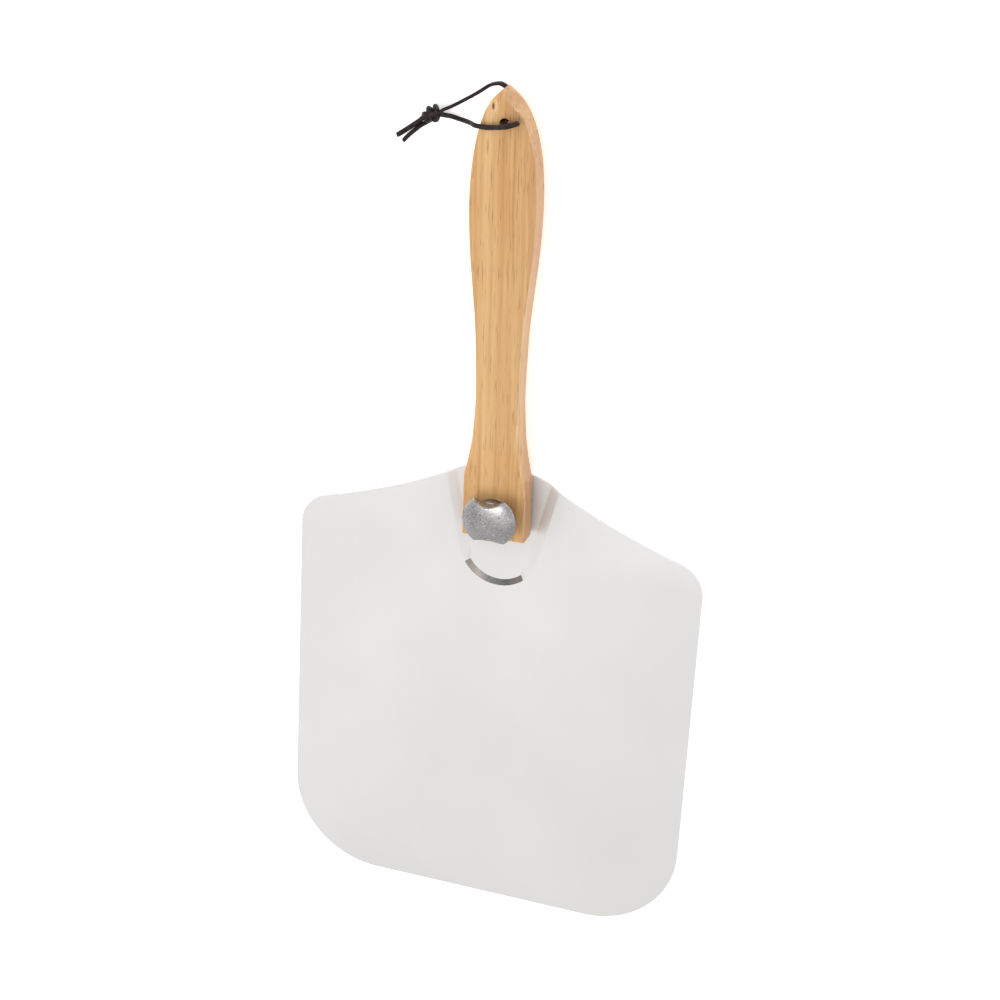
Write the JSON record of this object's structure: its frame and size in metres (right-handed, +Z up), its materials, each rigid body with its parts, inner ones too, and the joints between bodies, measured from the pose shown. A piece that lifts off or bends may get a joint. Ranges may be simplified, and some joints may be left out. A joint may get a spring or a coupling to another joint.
{
  "type": "pizza peel",
  "caption": "Folding pizza peel: pressed aluminium blade, wooden swivel handle clamped by a cast knob on a pivot bolt, with a leather hanging thong.",
  "frame": {"origin": "on the pivot axis, in the flat underside of the pivot bolt's head, which is the lowest face when the peel lies on its back", "axes": "+Z up out of the blade's top face, along the pivot axis; +Y from the pivot towards the handle's end with the handle unfolded; +X to the right"},
  "size_m": [0.3074, 0.6407, 0.0438],
  "materials": {
    "blade_sheet": "fine satin, anodised",
    "hardware": "zinc-plated steel",
    "cast_metal": "die-cast, tumbled and finely speckled",
    "brass": "turned",
    "fibre": "dark vulcanised fibre, matt",
    "wood": "light tan straight-grained hardwood, thin satin lacquer",
    "thong": "dark brown waxed leather"
  },
  "bodies": {
    "blade_assembly": {"blade": "blade_sheet", "pivot_bolt": "hardware", "friction_washer": "fibre"},
    "handle_assembly": {"handle": "wood", "handle_bush": "brass", "cord_front": "thong", "cord_back": "thong", "cord_knot": "thong", "cord_tail_1": "thong", "cord_tail_2": "thong"},
    "washers": {"thrust_washer": "hardware", "spring_washer": "hardware"},
    "clamp_knob": {"knob": "cast_metal", "knob_insert": "brass"}
  },
  "joints": [
    {"name": "handle_fold", "type": "hinge", "parent": "blade_assembly", "child": "handle_assembly", "pos_m": [0, 0, 0.016], "axis": [0, 0, 1], "range_deg": [-181.43, 178.57], "deforming": ["cord_front", "cord_back", "cord_knot", "cord_tail_1", "cord_tail_2"]},
    {"name": "knob_lift", "type": "slide", "parent": "blade_assembly", "child": "washers", "axis": [0, 0, 1], "range_m": [0, 0.003]},
    {"name": "knob_turn", "type": "hinge", "parent": "washers", "child": "clamp_knob", "pos_m": [0, 0, 0.035], "axis": [0, 0, 1], "range_deg": [0, 1080]}
  ],
  "couplings": [
    {"joint": "knob_turn", "follows": "knob_lift", "rad_per_m": 6283.2}
  ]
}
